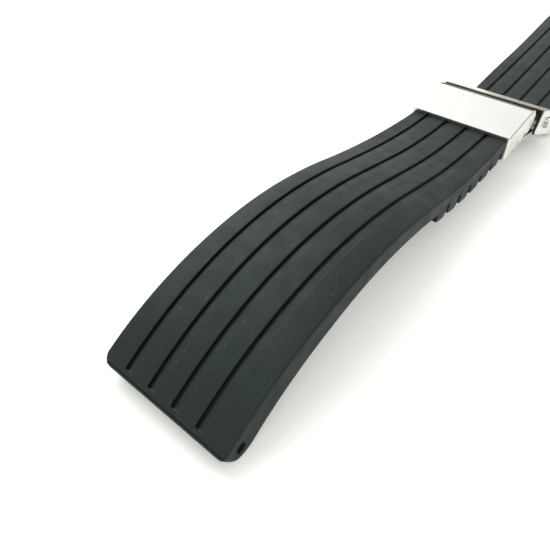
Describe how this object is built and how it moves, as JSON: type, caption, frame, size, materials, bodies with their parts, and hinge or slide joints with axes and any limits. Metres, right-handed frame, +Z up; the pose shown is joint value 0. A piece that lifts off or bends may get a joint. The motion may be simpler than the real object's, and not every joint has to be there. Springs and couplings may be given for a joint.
{
  "type": "rubber dive strap",
  "caption": "Two-piece grooved rubber watch strap with ridged underside and folding push-button steel clasp, lying arched on a table",
  "frame": {"origin": "centre of the footprint on the table, under the middle of the strap's length", "axes": "+X runs along the strap from the near lug end to the far lug end, +Y to the left seen from the near end, +Z up from the table"},
  "size_m": [0.2012, 0.0244, 0.0145],
  "materials": {
    "strap_rubber": "matt charcoal rubber with a faint green-blue tint",
    "brushed_case": "brushed stainless steel with polished edges",
    "blade_steel": "satin stainless sheet",
    "button_steel": "polished stainless steel",
    "pin_steel": "turned stainless steel",
    "spring_steel": "drawn spring wire"
  },
  "bodies": {
    "cover": {"clasp_cover": "brushed_case", "cover_hinge_pin": "pin_steel", "latch_carrier": "blade_steel", "button_spring_left": "spring_steel", "button_spring_right": "spring_steel"},
    "middle": {"middle_blade": "blade_steel"},
    "base": {"lower_blade": "blade_steel", "blade_hinge_pin": "pin_steel", "end_sleeve": "brushed_case", "sleeve_pin": "pin_steel"},
    "near_half": {"near_strap": "strap_rubber", "near_bar_tube": "pin_steel", "near_bar_spring": "spring_steel"},
    "far_half": {"far_strap": "strap_rubber", "far_bar_tube": "pin_steel", "far_bar_spring": "spring_steel"},
    "button_left": {"push_button_left": "button_steel"},
    "button_right": {"push_button_right": "button_steel"},
    "near_tip_l": {"near_tip_left": "pin_steel"},
    "near_tip_r": {"near_tip_right": "pin_steel"},
    "far_tip_l": {"far_tip_left": "pin_steel"},
    "far_tip_r": {"far_tip_right": "pin_steel"}
  },
  "joints": [
    {"name": "cover_fold", "type": "hinge", "parent": "cover", "child": "middle", "pos_m": [-0.00153, 0, 0.00746], "axis": [0, 1, 0], "range_deg": [0, 165]},
    {"name": "blade_fold", "type": "hinge", "parent": "middle", "child": "base", "pos_m": [0.0074, 0, 0.00335], "axis": [0, 1, 0], "range_deg": [-165, 0]},
    {"name": "near_swing", "type": "hinge", "parent": "base", "child": "near_half", "pos_m": [-0.01349, 0, 0.00788], "axis": [0, 1, 0], "range_deg": [-50, 0]},
    {"name": "far_swing", "type": "hinge", "parent": "cover", "child": "far_half", "pos_m": [0.01315, 0, 0.0019], "axis": [0, 1, 0], "range_deg": [-60, 80]},
    {"name": "left_button_press", "type": "slide", "parent": "cover", "child": "button_left", "axis": [0, -1, 0], "range_m": [0, 0.0007], "stiffness_N_per_m": 400, "springref_m": -0.0005, "deforming": ["button_spring_left"]},
    {"name": "right_button_press", "type": "slide", "parent": "cover", "child": "button_right", "axis": [0, 1, 0], "range_m": [0, 0.0007], "stiffness_N_per_m": 400, "springref_m": -0.0005, "deforming": ["button_spring_right"]},
    {"name": "near_left_tip_press", "type": "slide", "parent": "near_half", "child": "near_tip_l", "axis": [0, -1, 0], "range_m": [0, 0.0008], "stiffness_N_per_m": 300, "springref_m": -0.0005},
    {"name": "near_right_tip_press", "type": "slide", "parent": "near_half", "child": "near_tip_r", "axis": [0, 1, 0], "range_m": [0, 0.0008], "stiffness_N_per_m": 300, "springref_m": -0.0005},
    {"name": "far_left_tip_press", "type": "slide", "parent": "far_half", "child": "far_tip_l", "axis": [0, -1, 0], "range_m": [0, 0.0008], "stiffness_N_per_m": 300, "springref_m": -0.0005},
    {"name": "far_right_tip_press", "type": "slide", "parent": "far_half", "child": "far_tip_r", "axis": [0, 1, 0], "range_m": [0, 0.0008], "stiffness_N_per_m": 300, "springref_m": -0.0005}
  ],
  "couplings": [
    {"joint": "blade_fold", "follows": "cover_fold", "ratio": -1}
  ]
}
